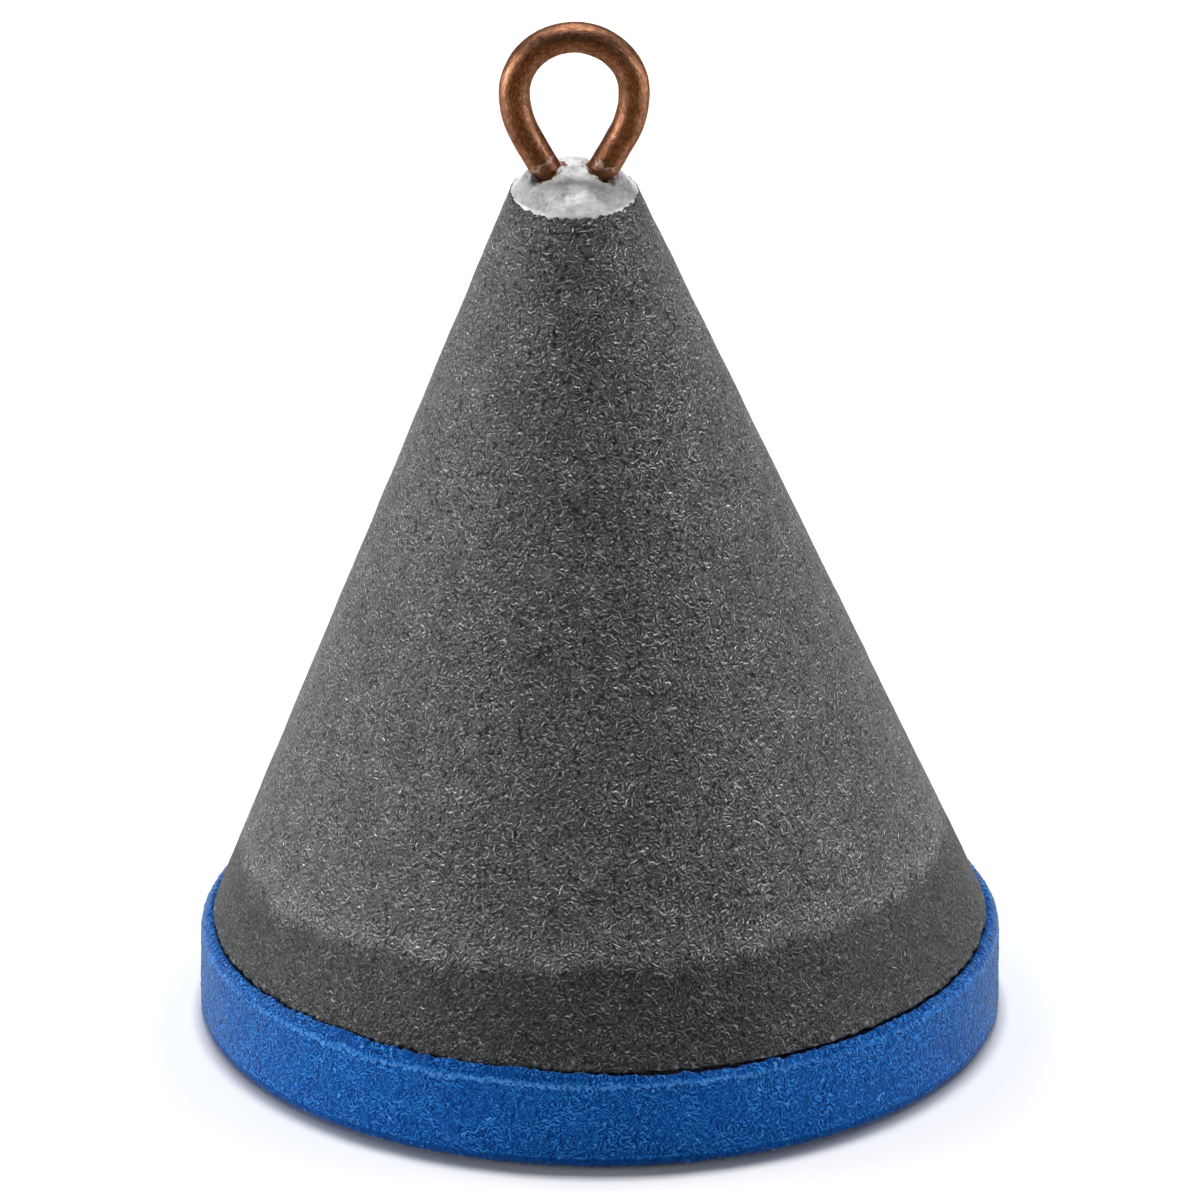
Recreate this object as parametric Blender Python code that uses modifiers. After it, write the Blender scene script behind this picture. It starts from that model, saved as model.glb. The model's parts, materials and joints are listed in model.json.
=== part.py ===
"""Fishing plummet: a coated lead cone with a cast-in copper wire eye and a glued-on foam base.

Metres, +Z up. The origin is the centre of the foam's underside, on which the plummet stands.
The wire eye lies in the XZ plane, so a line passes through it along Y.
"""

import math

import bmesh
import bpy
from mathutils import Matrix

# Foam base, a disc a little wider than the cone
FOAM_LEDGE = 0.00035
FOAM_THICKNESS = 0.0030
FOAM_TOP_EDGE_RADIUS = 0.00035
FOAM_BOTTOM_EDGE_RADIUS = 0.00030

# Glue film, which stops short of the cone's edge
GLUE_THICKNESS = 0.00006
GLUE_INSET = 0.00030

# Cone, measured over its coat; the casting leans, so its rim is off the centre of its base
CONE_BASE_DIAMETER = 0.02430
CONE_RIM_DIAMETER = 0.0040
CONE_HEIGHT = 0.02475
CONE_EDGE_RADIUS = 0.00008
CONE_RIM_LEAN = -0.00080

# Textured coat, which thins out towards the rim
COAT_THICKNESS = 0.00015
COAT_RIM_THICKNESS = 0.00005
COAT_FEATHER_HEIGHT = 0.0010

# Bare lead mound above the rim
MOUND_HEIGHT = 0.00090

# Copper wire eye: a round top, a longer lower half and two legs that close in on the mound
WIRE_DIAMETER = 0.00097
EYE_INNER_WIDTH = 0.00275
EYE_LOWER_HALF = 0.0025
EYE_CENTRE_ABOVE_RIM = 0.00332
LEG_ANGLE = math.radians(28.5)
LEG_BEND_RADIUS = 0.0015
LEG_GAP = 0.00029
LEG_DEPTH = 0.0070
FOOT_ANGLE = math.radians(60)
FOOT_BEND_RADIUS = 0.0015
FOOT_LENGTH = 0.0015

# Clearance left between pieces that touch on the real object
SEAT_GAP = 0.00002

# Fineness of the meshes
TURN_STEPS = 72
ARC_STEP = math.radians(11)
EDGE_STEP = math.radians(30)
WIRE_BEVEL_RESOLUTION = 4
SAME_POINT = 1e-7
SHARP_EDGE = math.radians(35)

# Sizes worked out from the ones above
CONE_BASE_RADIUS = CONE_BASE_DIAMETER / 2
CONE_RIM_RADIUS = CONE_RIM_DIAMETER / 2
FOAM_RADIUS = CONE_BASE_RADIUS + FOAM_LEDGE
FLANK_ANGLE = math.atan2(CONE_BASE_RADIUS - CONE_RIM_RADIUS, CONE_HEIGHT)
GLUE_BOTTOM = FOAM_THICKNESS + SEAT_GAP
CONE_BOTTOM = GLUE_BOTTOM + GLUE_THICKNESS + SEAT_GAP
RIM_TOP = CONE_BOTTOM + CONE_HEIGHT


def clear_scene():
    for obj in list(bpy.data.objects):
        bpy.data.objects.remove(obj)


def new_collection(name):
    collection = bpy.data.collections.new(name)
    bpy.context.scene.collection.children.link(collection)
    return collection


def new_material(name, colour, roughness, metallic=0.0):
    material = bpy.data.materials.new(name)
    material.use_nodes = True
    shader = material.node_tree.nodes["Principled BSDF"]
    shader.inputs["Base Color"].default_value = (*colour, 1.0)
    shader.inputs["Roughness"].default_value = roughness
    shader.inputs["Metallic"].default_value = metallic
    return material


def arc(centre, radii, start, end, step=ARC_STEP):
    """Points from one angle to another on an arc, round or elliptical; 0 points outwards, 90 degrees up."""
    count = max(2, math.ceil(abs(end - start) / step))
    angles = [start + (end - start) * i / count for i in range(count + 1)]
    return [(centre[0] + radii[0] * math.cos(a), centre[1] + radii[1] * math.sin(a)) for a in angles]


def evaluated_mesh(obj, name):
    """The object's mesh with modifiers and bevel applied, doubles merged and round sides smooth."""
    graph = bpy.context.evaluated_depsgraph_get()
    mesh = bpy.data.meshes.new_from_object(obj.evaluated_get(graph))
    mesh.name = name
    work = bmesh.new()
    work.from_mesh(mesh)
    bmesh.ops.remove_doubles(work, verts=work.verts, dist=SAME_POINT)
    work.to_mesh(mesh)
    work.free()
    mesh.shade_smooth()
    mesh.set_sharp_from_angle(angle=SHARP_EDGE)
    return mesh


def turned(name, profile, collection, lean=0.0):
    """A turned object, from profile points (radius, height) that run down its outer side.

    The lean is how far it shifts along X for each unit of height.
    """
    outline = bpy.data.meshes.new(name + "_profile")
    edges = [(i, i + 1) for i in range(len(profile) - 1)]
    outline.from_pydata([(radius, 0, height) for radius, height in profile], edges, [])
    pattern = bpy.data.objects.new(name + "_profile", outline)
    collection.objects.link(pattern)
    screw = pattern.modifiers.new("Turn", "SCREW")
    screw.steps = TURN_STEPS
    screw.render_steps = TURN_STEPS
    screw.use_merge_vertices = True
    screw.merge_threshold = SAME_POINT
    mesh = evaluated_mesh(pattern, name)
    bpy.data.objects.remove(pattern)
    bpy.data.meshes.remove(outline)
    mesh.transform(Matrix.Shear("XY", 4, (lean, 0.0)))
    obj = bpy.data.objects.new(name, mesh)
    collection.objects.link(obj)
    return obj


def wire_curve(name, diameter, collection):
    """A round wire of this diameter on the eye's centre line."""
    right = wire_half_line()
    line = [(-x, z) for x, z in reversed(right)] + right[1:]
    curve = bpy.data.curves.new(name, "CURVE")
    curve.dimensions = "3D"
    curve.bevel_depth = diameter / 2
    curve.bevel_resolution = WIRE_BEVEL_RESOLUTION
    curve.use_fill_caps = True
    spline = curve.splines.new("POLY")
    spline.points.add(len(line) - 1)
    for point, (x, z) in zip(spline.points, line):
        point.co = (x, 0, z, 1)
    obj = bpy.data.objects.new(name, curve)
    collection.objects.link(obj)
    return obj


def wire_half_line():
    """Centre line of the wire's right half, as (x, z) from the top of the eye to the end of its foot.

    x is from the eye's middle, and z from the rim.
    """
    eye = (EYE_INNER_WIDTH + WIRE_DIAMETER) / 2
    centre = (0, EYE_CENTRE_ABOVE_RIM)
    leg_x = (WIRE_DIAMETER + LEG_GAP) / 2
    line = arc(centre, (eye, eye), math.pi / 2, 0)
    lower_end = math.atan(math.tan(LEG_ANGLE) * EYE_LOWER_HALF / eye)
    line += arc(centre, (eye, EYE_LOWER_HALF), 0, -lower_end)[1:]
    bend_x = leg_x + LEG_BEND_RADIUS
    run = (line[-1][0] - bend_x + LEG_BEND_RADIUS * math.cos(LEG_ANGLE)) / math.tan(LEG_ANGLE)
    bend_z = line[-1][1] - run - LEG_BEND_RADIUS * math.sin(LEG_ANGLE)
    line += arc((bend_x, bend_z), (-LEG_BEND_RADIUS, LEG_BEND_RADIUS), LEG_ANGLE, 0)
    foot_x = leg_x + FOOT_BEND_RADIUS
    line += arc((foot_x, -LEG_DEPTH), (-FOOT_BEND_RADIUS, FOOT_BEND_RADIUS), 0, -FOOT_ANGLE)
    end_x = line[-1][0] + FOOT_LENGTH * math.sin(FOOT_ANGLE)
    end_z = line[-1][1] - FOOT_LENGTH * math.cos(FOOT_ANGLE)
    return line + [(end_x, end_z)]


def flank_radius(height, inset=0.0):
    """Radius of the cone at this height above its base, on a surface this far under the coat's."""
    outer = CONE_BASE_RADIUS - height * math.tan(FLANK_ANGLE)
    return outer - inset / math.cos(FLANK_ANGLE)


def make_foam_base(collection):
    top = FOAM_TOP_EDGE_RADIUS
    bottom = FOAM_BOTTOM_EDGE_RADIUS
    profile = [(0, FOAM_THICKNESS)]
    profile += arc((FOAM_RADIUS - top, FOAM_THICKNESS - top), (top, top), math.pi / 2, 0, EDGE_STEP)
    profile += arc((FOAM_RADIUS - bottom, bottom), (bottom, bottom), 0, -math.pi / 2, EDGE_STEP)
    profile += [(0, 0)]
    foam = turned("foam_base", profile, collection)
    foam.data.materials.append(new_material("blue_foam", (0.012, 0.095, 0.42), 0.85))
    return foam


def make_glue_film(collection):
    radius = CONE_BASE_RADIUS - GLUE_INSET
    profile = [(0, GLUE_THICKNESS), (radius, GLUE_THICKNESS), (radius, 0), (0, 0)]
    glue = turned("glue_film", profile, collection)
    glue.location.z = GLUE_BOTTOM
    glue.data.materials.append(new_material("dark_glue", (0.03, 0.03, 0.032), 0.3))
    return glue


def make_textured_coat(collection):
    floor = COAT_THICKNESS
    feather = CONE_HEIGHT - COAT_FEATHER_HEIGHT
    profile = [
        (0, floor),
        (flank_radius(floor, COAT_THICKNESS), floor),
        (flank_radius(feather, COAT_THICKNESS), feather),
        (CONE_RIM_RADIUS - COAT_RIM_THICKNESS, CONE_HEIGHT),
        (CONE_RIM_RADIUS, CONE_HEIGHT),
    ]
    edge = CONE_EDGE_RADIUS
    edge_middle = CONE_BASE_RADIUS - edge / math.tan((math.pi / 2 - FLANK_ANGLE) / 2)
    profile += arc((edge_middle, edge), (edge, edge), FLANK_ANGLE, -math.pi / 2, EDGE_STEP)
    profile += [(0, 0)]
    coat = turned("textured_coat", profile, collection, CONE_RIM_LEAN / CONE_HEIGHT)
    coat.location.z = CONE_BOTTOM
    coat.data.materials.append(new_material("grey_coat", (0.09, 0.09, 0.09), 0.6))
    return coat


def make_lead_weight(collection, wire_hole):
    inset = COAT_THICKNESS + SEAT_GAP
    feather = CONE_HEIGHT - COAT_FEATHER_HEIGHT
    mound_radius = CONE_RIM_RADIUS - COAT_RIM_THICKNESS - SEAT_GAP / math.cos(FLANK_ANGLE)
    crown = (mound_radius**2 + MOUND_HEIGHT**2) / (2 * MOUND_HEIGHT)
    crown_middle = CONE_HEIGHT + MOUND_HEIGHT - crown
    mound_edge = math.atan2(crown - MOUND_HEIGHT, mound_radius)
    profile = arc((0, crown_middle), (crown, crown), math.pi / 2, mound_edge)
    profile[0] = (0, CONE_HEIGHT + MOUND_HEIGHT)
    profile += [
        (flank_radius(feather, inset), feather),
        (flank_radius(inset, inset), inset),
        (0, inset),
    ]
    lead = turned("lead_weight", profile, collection, CONE_RIM_LEAN / CONE_HEIGHT)
    lead.location.z = CONE_BOTTOM
    lead.data.materials.append(new_material("bare_lead", (0.55, 0.55, 0.56), 0.45, 1.0))
    cast_round_wire = lead.modifiers.new("Cast round the wire", "BOOLEAN")
    cast_round_wire.operation = "DIFFERENCE"
    cast_round_wire.object = wire_hole
    return lead


def make_wire_hole(collection):
    """The space that the wire takes up in the casting, as a mesh that cuts it."""
    curve = wire_curve("wire_hole_line", WIRE_DIAMETER + 2 * SEAT_GAP, collection)
    hole = bpy.data.objects.new("wire_hole", evaluated_mesh(curve, "wire_hole"))
    bpy.data.objects.remove(curve)
    collection.objects.link(hole)
    hole.location = (CONE_RIM_LEAN, 0, RIM_TOP)
    hole.hide_render = True
    hole.display_type = "WIRE"
    return hole


def make_wire_eye(collection):
    wire = wire_curve("wire_eye", WIRE_DIAMETER, collection)
    wire.location = (CONE_RIM_LEAN, 0, RIM_TOP)
    wire.data.materials.append(new_material("copper", (0.36, 0.15, 0.07), 0.35, 1.0))
    return wire


def main():
    clear_scene()
    parts = new_collection("fishing_plummet")
    cutters = new_collection("cutters")
    cutters.hide_render = True
    stand = bpy.data.objects.new("plummet_base_centre", None)
    parts.objects.link(stand)
    pieces = [
        make_foam_base(parts),
        make_glue_film(parts),
        make_textured_coat(parts),
        make_lead_weight(parts, make_wire_hole(cutters)),
        make_wire_eye(parts),
    ]
    for piece in pieces:
        piece.parent = stand


main()
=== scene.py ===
"""Looks of a fishing plummet: coated lead cone, copper wire eye and blue foam base, on a pale studio floor.

Metres, +Z up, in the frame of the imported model. The camera stands at -Y and looks along +Y.
"""

import json
import math

import bpy
from bpy.props import FloatProperty, FloatVectorProperty, IntProperty, PointerProperty
from bpy.types import Operator, Panel, PropertyGroup
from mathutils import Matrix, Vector


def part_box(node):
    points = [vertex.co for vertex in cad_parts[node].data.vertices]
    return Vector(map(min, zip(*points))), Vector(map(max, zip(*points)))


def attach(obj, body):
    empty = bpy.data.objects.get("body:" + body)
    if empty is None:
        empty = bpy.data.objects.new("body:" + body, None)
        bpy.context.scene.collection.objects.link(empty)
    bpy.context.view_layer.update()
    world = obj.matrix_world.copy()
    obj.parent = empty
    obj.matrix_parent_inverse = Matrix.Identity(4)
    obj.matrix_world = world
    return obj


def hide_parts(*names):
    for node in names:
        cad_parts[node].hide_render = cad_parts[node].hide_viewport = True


bl_info = {
    "name": "Fishing Plummet",
    "version": (1, 0, 0),
    "blender": (4, 5, 0),
    "location": "View3D > Sidebar > Plummet",
    "description": "Dresses a packed fishing plummet with its coat, lead, copper, glue and foam finishes",
    "category": "Object",
}

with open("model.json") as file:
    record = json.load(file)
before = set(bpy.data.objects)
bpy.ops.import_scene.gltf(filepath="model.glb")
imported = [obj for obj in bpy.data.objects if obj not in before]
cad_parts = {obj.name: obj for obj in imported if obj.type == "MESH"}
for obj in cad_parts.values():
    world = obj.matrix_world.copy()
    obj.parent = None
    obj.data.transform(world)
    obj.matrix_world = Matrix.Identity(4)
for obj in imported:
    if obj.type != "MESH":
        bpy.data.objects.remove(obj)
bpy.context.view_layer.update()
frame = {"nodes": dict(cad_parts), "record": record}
BODY = "root"
SAME_PLACE = 1e-6
QUARTER_TURN = math.pi / 2


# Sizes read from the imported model

def ring_at(node, height):
    """Middle, along X, and radius of the widest ring of a CAD node's points at this height."""
    across = [v.co.x for v in frame["nodes"][node].data.vertices if abs(v.co.z - height) < SAME_PLACE]
    return (max(across) + min(across)) / 2, (max(across) - min(across)) / 2


def mount_place(name):
    return Vector(next(m["pos_m"] for m in frame["record"]["mounts"] if m["name"] == name))


FOAM_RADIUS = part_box("foam_base")[1].x
FOAM_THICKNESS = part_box("foam_base")[1].z
GLUE_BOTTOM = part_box("glue_film")[0].z
GLUE_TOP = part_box("glue_film")[1].z
GLUE_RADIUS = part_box("glue_film")[1].x
CONE_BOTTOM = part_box("textured_coat")[0].z
CONE_BASE_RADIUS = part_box("textured_coat")[1].y
RIM_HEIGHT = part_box("textured_coat")[1].z
RIM_MIDDLE, RIM_RADIUS = ring_at("textured_coat", RIM_HEIGHT)
CONE_HEIGHT = RIM_HEIGHT - CONE_BOTTOM
CONE_LEAN = RIM_MIDDLE / CONE_HEIGHT
FLANK_ANGLE = math.atan2(CONE_BASE_RADIUS - RIM_RADIUS, CONE_HEIGHT)
MOUND_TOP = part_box("lead_weight")[1].z
LEAD_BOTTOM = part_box("lead_weight")[0].z
EYE_MIDDLE = mount_place("line_eye")
WIRE_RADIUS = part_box("wire_eye")[1].y
EYE_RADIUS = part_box("wire_eye")[1].z - WIRE_RADIUS - EYE_MIDDLE.z


# Settings in the sidebar

class FoamSettings(PropertyGroup):
    """Sizes and colours of the foam base."""

    top_edge: FloatProperty(
        name="Top edge", description="Radius of the foam's top edge", default=0.00035, unit="LENGTH")
    bottom_edge: FloatProperty(
        name="Bottom edge", description="Radius of the foam's bottom edge", default=0.0003, unit="LENGTH")
    lump_depth: FloatProperty(
        name="Lump depth", description="Depth of the soft lumps", default=0.000012, unit="LENGTH")
    lump_size: FloatProperty(
        name="Lump size", description="Size of the soft lumps", default=0.0011, unit="LENGTH")
    cell_depth: FloatProperty(
        name="Cell depth", description="Depth of the cut cells", default=0.000016, unit="LENGTH")
    cell_size: FloatProperty(
        name="Cell size", description="Size of the cut cells", default=0.00016, unit="LENGTH")
    cell_contrast: FloatProperty(
        name="Cell contrast", description="How strongly the cells lighten and darken the foam", default=5.0)
    lip_height: FloatProperty(
        name="Lip height", description="How far the foam swells up round the cone", default=0.0003,
        unit="LENGTH")
    lip_turn: FloatProperty(
        name="Lip turn", description="Where the foam swells most, turned from the front",
        default=math.radians(-32), subtype="ANGLE")
    colour: FloatVectorProperty(
        name="Foam", description="Colour of the foam", default=(0.0008, 0.0755, 0.325), subtype="COLOR")
    # Painted light: the lit sides of the cells and the painted highlights
    lit_cell_colour: FloatVectorProperty(
        name="Lit cell walls", description="Colour of the raised cell walls",
        default=(0.03, 0.24, 0.70), subtype="COLOR")
    # Painted highlight flecks along the top edge, and pale flecks elsewhere
    highlight_fleck_colour: FloatVectorProperty(
        name="Highlight flecks", description="Colour of torn cell walls that catch the light",
        default=(0.16, 0.37, 0.74), subtype="COLOR")
    # Painted shade: the shaded sides of the cells, shade in their pits and the painted shadow on the flat top
    # ring
    shaded_cell_colour: FloatVectorProperty(
        name="Shaded cell pits", description="Colour inside the cells", default=(0.0, 0.026, 0.15), subtype="COLOR")


class CoatSettings(PropertyGroup):
    """Sizes and colours of the textured coat."""

    thickness: FloatProperty(
        name="Thickness", description="Thickness of the coat on the flank", default=0.00015, unit="LENGTH")
    rim_thickness: FloatProperty(
        name="Rim thickness", description="Thickness of the coat at its rim", default=0.00003, unit="LENGTH")
    lump_depth: FloatProperty(
        name="Lump depth", description="Depth of the soft lumps", default=0.000014, unit="LENGTH")
    lump_size: FloatProperty(
        name="Lump size", description="Size of the soft lumps", default=0.0016, unit="LENGTH")
    fine_depth: FloatProperty(
        name="Fine depth", description="Depth of the fine lumps", default=0.000008, unit="LENGTH")
    fine_size: FloatProperty(
        name="Fine size", description="Size of the fine lumps", default=0.00045, unit="LENGTH")
    rim_ragged: FloatProperty(
        name="Ragged rim", description="How far the coat's edge wanders", default=0.00009, unit="LENGTH")
    rim_dip: FloatProperty(
        name="Rim dip", description="How far the coat's edge dips in front", default=0.0001, unit="LENGTH")
    base_ragged: FloatProperty(
        name="Ragged base", description="How far the coat's lower edge is chipped", default=0.0001,
        unit="LENGTH")
    grain_size: FloatProperty(
        name="Grain size", description="Size of the wrinkled grain", default=0.00017, unit="LENGTH")
    grain_depth: FloatProperty(
        name="Grain depth", description="Depth of the wrinkled grain", default=0.00006, unit="LENGTH")
    grain_contrast: FloatProperty(
        name="Grain contrast", description="How strongly the grain lightens and darkens the coat",
        default=5.5)
    colour: FloatVectorProperty(
        name="Coat", description="Colour of the coat", default=(0.081, 0.081, 0.081), subtype="COLOR")
    band_height: FloatProperty(
        name="Band height", description="Height of the dark band above the base", default=0.003,
        unit="LENGTH")
    band_shade: FloatProperty(
        name="Band shade", description="How much of the coat's colour the band keeps",
        default=0.46, subtype="FACTOR")


class LeadSettings(PropertyGroup):
    """Sizes and colours of the bare lead."""

    lump_depth: FloatProperty(
        name="Lump depth", description="Depth of the casting's lumps", default=0.000018, unit="LENGTH")
    lump_size: FloatProperty(
        name="Lump size", description="Size of the casting's lumps", default=0.0006, unit="LENGTH")
    foot_spread: FloatProperty(
        name="Foot spread", description="Distance of each wire leg from the middle, where it goes in",
        default=0.00093, unit="LENGTH")
    collar_height: FloatProperty(
        name="Collar height", description="How far the lead climbs the wire's outer sides",
        default=0.00014, unit="LENGTH")
    pit_depth: FloatProperty(
        name="Pit depth", description="How far the lead sinks beside the wire's other sides",
        default=0.00018, unit="LENGTH")
    collar_width: FloatProperty(
        name="Collar width", description="Width of the lead that rises or sinks along the wire",
        default=0.0004, unit="LENGTH")
    colour: FloatVectorProperty(
        name="Lead", description="Colour of clean lead", default=(0.94, 0.945, 0.95), subtype="COLOR")
    patch_place: FloatVectorProperty(
        name="Patch", description="Middle of the speckled patch on the mound, seen from above",
        default=(0.0004, -0.0011), size=2, unit="LENGTH")
    dull_colour: FloatVectorProperty(
        name="Dull lead", description="Colour of dull lead", default=(0.33, 0.33, 0.326), subtype="COLOR")
    smear_colour: FloatVectorProperty(
        name="Smears", description="Colour of the copper smeared into the lead round the wire",
        default=(0.2, 0.085, 0.04), subtype="COLOR")


class WireSettings(PropertyGroup):
    """Sizes and colours of the copper wire."""

    lower_half: FloatProperty(
        name="Lower half", description="Height of the eye's lower half", default=0.0025, unit="LENGTH")
    leg_angle: FloatProperty(
        name="Leg angle", description="Slope of the legs from upright", default=math.radians(28.5),
        subtype="ANGLE")
    leg_gap: FloatProperty(
        name="Leg gap", description="Gap between the legs in the lead", default=0.00029, unit="LENGTH")
    bend: FloatProperty(
        name="Bend", description="Radius of the wire's bends in the lead", default=0.0015, unit="LENGTH")
    leg_depth: FloatProperty(
        name="Leg depth", description="Depth of the straight legs below the rim", default=0.007,
        unit="LENGTH")
    foot_angle: FloatProperty(
        name="Foot angle", description="How far the feet splay", default=math.radians(60), subtype="ANGLE")
    foot_length: FloatProperty(
        name="Foot length", description="Length of the straight feet", default=0.0015, unit="LENGTH")
    dent_depth: FloatProperty(
        name="Dent depth", description="Depth of the wire's dents", default=0.000012, unit="LENGTH")
    colour: FloatVectorProperty(
        name="Copper", description="Colour of clean copper", default=(0.275, 0.13, 0.076), subtype="COLOR")
    # Also the painted dark reflection on the front and back faces of the wire
    dull_colour: FloatVectorProperty(
        name="Dull copper", description="Colour of tarnished copper", default=(0.125, 0.046, 0.017),
        subtype="COLOR")
    film_height: FloatProperty(
        name="Film height", description="How far up each leg the ragged film of lead reaches",
        default=0.00012, unit="LENGTH")
    film_colour: FloatVectorProperty(
        name="Film", description="Colour of the film of lead on the copper", default=(0.42, 0.34, 0.29),
        subtype="COLOR")
    stain_colour: FloatVectorProperty(
        name="Stain", description="Colour of the heated copper below the film", default=(0.2, 0.085, 0.045),
        subtype="COLOR")


class StageSettings(PropertyGroup):
    """The camera, the lamps and the floor."""

    tilt: FloatProperty(
        name="Tilt", description="Height of the camera above the horizon", default=math.radians(24.15),
        subtype="ANGLE")
    distance: FloatProperty(
        name="Distance", description="Distance of the camera", default=1.5, unit="LENGTH")
    view_width: FloatProperty(
        name="View width", description="Width of the view at the plummet", default=0.0375, unit="LENGTH")
    aim_height: FloatProperty(
        name="Aim height", description="Height of the point in the middle of the view", default=0.01386,
        unit="LENGTH")
    floor_colour: FloatVectorProperty(
        name="Floor", description="Colour of the floor", default=(0.92, 0.92, 0.92), subtype="COLOR")
    floor_glow: FloatProperty(
        name="Floor glow", description="White added to the floor as it is seen", default=0.06)
    front_level: FloatProperty(
        name="Front level", description="Brightness of the studio on the camera's side", default=0.062)
    back_level: FloatProperty(
        name="Back level", description="Brightness of the studio behind the plummet", default=0.12)
    top_level: FloatProperty(
        name="Top level", description="Brightness of the softbox overhead", default=58.0)
    left_level: FloatProperty(
        name="Left level", description="Brightness of the softbox on the left", default=34.5)
    right_level: FloatProperty(
        name="Right level", description="Brightness of the softbox on the right", default=23.0)
    rear_level: FloatProperty(
        name="Rear level", description="Brightness of each softbox behind the plummet", default=4.5)


class PlummetSettings(PropertyGroup):
    """All the plummet's settings."""

    foam: PointerProperty(type=FoamSettings)
    coat: PointerProperty(type=CoatSettings)
    lead: PointerProperty(type=LeadSettings)
    wire: PointerProperty(type=WireSettings)
    stage: PointerProperty(type=StageSettings)
    seed: IntProperty(name="Seed", description="Sets every random pattern", default=3)


# Nodes

class Sheet:
    """Adds nodes to a tree from left to right; an input is a value or another node's output."""

    COLUMN = 190
    ROW = 210
    ROWS = 5
    SEED_STEP = (0.013, 0.017, 0.011)
    SWIRL = 1.5
    MIX_FACTOR = 0
    MIX_COLOURS = (6, 7)
    MIX_RESULT = 2

    def __init__(self, tree):
        self.tree = tree
        self.count = 0

    def add(self, kind, *values, inputs=None, **settings):
        node = self.tree.nodes.new(kind)
        node.location = (self.COLUMN * (self.count // self.ROWS), -self.ROW * (self.count % self.ROWS))
        self.count += 1
        for name, value in settings.items():
            setattr(node, name, value)
        for key, value in [*enumerate(values), *(inputs or {}).items()]:
            if isinstance(value, bpy.types.NodeSocket):
                self.tree.links.new(value, node.inputs[key])
            else:
                node.inputs[key].default_value = value
        return node

    def math(self, operation, *values):
        return self.add("ShaderNodeMath", *values, operation=operation).outputs[0]

    def plus(self, first, *others):
        for other in others:
            first = self.math("ADD", first, other)
        return first

    def minus(self, first, second):
        return self.math("SUBTRACT", first, second)

    def times(self, first, *others):
        for other in others:
            first = self.math("MULTIPLY", first, other)
        return first

    def vector(self, operation, *values):
        return self.add("ShaderNodeVectorMath", *values, operation=operation).outputs[0]

    def scaled(self, vector, factor):
        inputs = {"Scale": factor}
        return self.add("ShaderNodeVectorMath", vector, operation="SCALE", inputs=inputs).outputs[0]

    def length(self, vector):
        return self.add("ShaderNodeVectorMath", vector, operation="LENGTH").outputs["Value"]

    def parts(self, vector):
        return tuple(self.add("ShaderNodeSeparateXYZ", vector).outputs)

    def joined(self, x, y, z):
        return self.add("ShaderNodeCombineXYZ", x, y, z).outputs[0]

    def ramp(self, value, low, high, to_low=0.0, to_high=1.0, smooth=True):
        """Follows value from to_low, at low, to to_high, at high, and stays level beyond them."""
        kind = "SMOOTHSTEP" if smooth else "LINEAR"
        node = self.add("ShaderNodeMapRange", value, low, high, to_low, to_high, interpolation_type=kind)
        return node.outputs[0]

    def band(self, value, start, full, fading, end):
        """0 before start and after end, and 1 from full to fading."""
        return self.times(self.ramp(value, start, full), self.ramp(value, end, fading))

    def sway(self, noise, reach, low=0.3, high=0.7):
        """Turns a noise into a number that wanders as far as reach to both sides of 0."""
        return self.ramp(noise, low, high, -reach, reach, False)

    def noise(self, vector, scale, seed, detail=0.0, roughness=0.5, distortion=0.0):
        """Soft noise from 0 to 1; a seed from a tree's input stays live, and a number shifts the place."""
        inputs = {"Scale": scale, "Detail": detail, "Roughness": roughness, "Distortion": distortion}
        if isinstance(seed, bpy.types.NodeSocket):
            node = self.add("ShaderNodeTexNoise", vector, seed, noise_dimensions="4D", inputs=inputs)
        else:
            shifted = self.vector("ADD", vector, tuple(seed * step for step in self.SEED_STEP))
            node = self.add("ShaderNodeTexNoise", shifted, noise_dimensions="3D", inputs=inputs)
        return node.outputs[0]

    def relief(self, place, across, size, seed, sideways, upwards):
        """Height of a wrinkled surface, and how far it falls off this many wrinkle sizes away."""
        beyond = self.vector("ADD", place, self.scaled(across, sideways * size))
        beyond = self.vector("ADD", beyond, (0.0, 0.0, upwards * size))
        height = self.noise(place, 1.0 / size, seed, distortion=self.SWIRL)
        return height, self.minus(height, self.noise(beyond, 1.0 / size, seed, distortion=self.SWIRL))

    def mix(self, factor, *colours):
        """Blends two colours, from the first at 0 to the second at 1."""
        inputs = {self.MIX_FACTOR: factor}
        for key, colour in zip(self.MIX_COLOURS, colours):
            inputs[key] = colour if isinstance(colour, bpy.types.NodeSocket) else (*colour, 1.0)
        node = self.add("ShaderNodeMix", data_type="RGBA", clamp_factor=True, inputs=inputs)
        return node.outputs[self.MIX_RESULT]


def new_material(name):
    """A material, the sheet to add its nodes to, and the place on the object that its patterns follow."""
    material = bpy.data.materials.new(name)
    material.use_nodes = True
    material.node_tree.nodes.clear()
    sheet = Sheet(material.node_tree)
    return material, sheet, sheet.add("ShaderNodeTexCoord").outputs["Object"]


def add_shader(sheet, inputs):
    """Ends a material with a Principled BSDF that has these inputs."""
    shader = sheet.add("ShaderNodeBsdfPrincipled", inputs=inputs)
    sheet.add("ShaderNodeOutputMaterial", shader.outputs[0])


def round_the_axis(sheet, place):
    """The direction round the plummet's axis, which is +X on the front."""
    x, y = sheet.parts(place)[:2]
    return sheet.vector("NORMALIZE", sheet.joined(sheet.times(y, -1.0), x, 0.0))


# Wrinkles are lit where they fall off this way, sideways and upwards in wrinkle sizes
LIT_TOPS = (0.05, 0.24)


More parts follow.
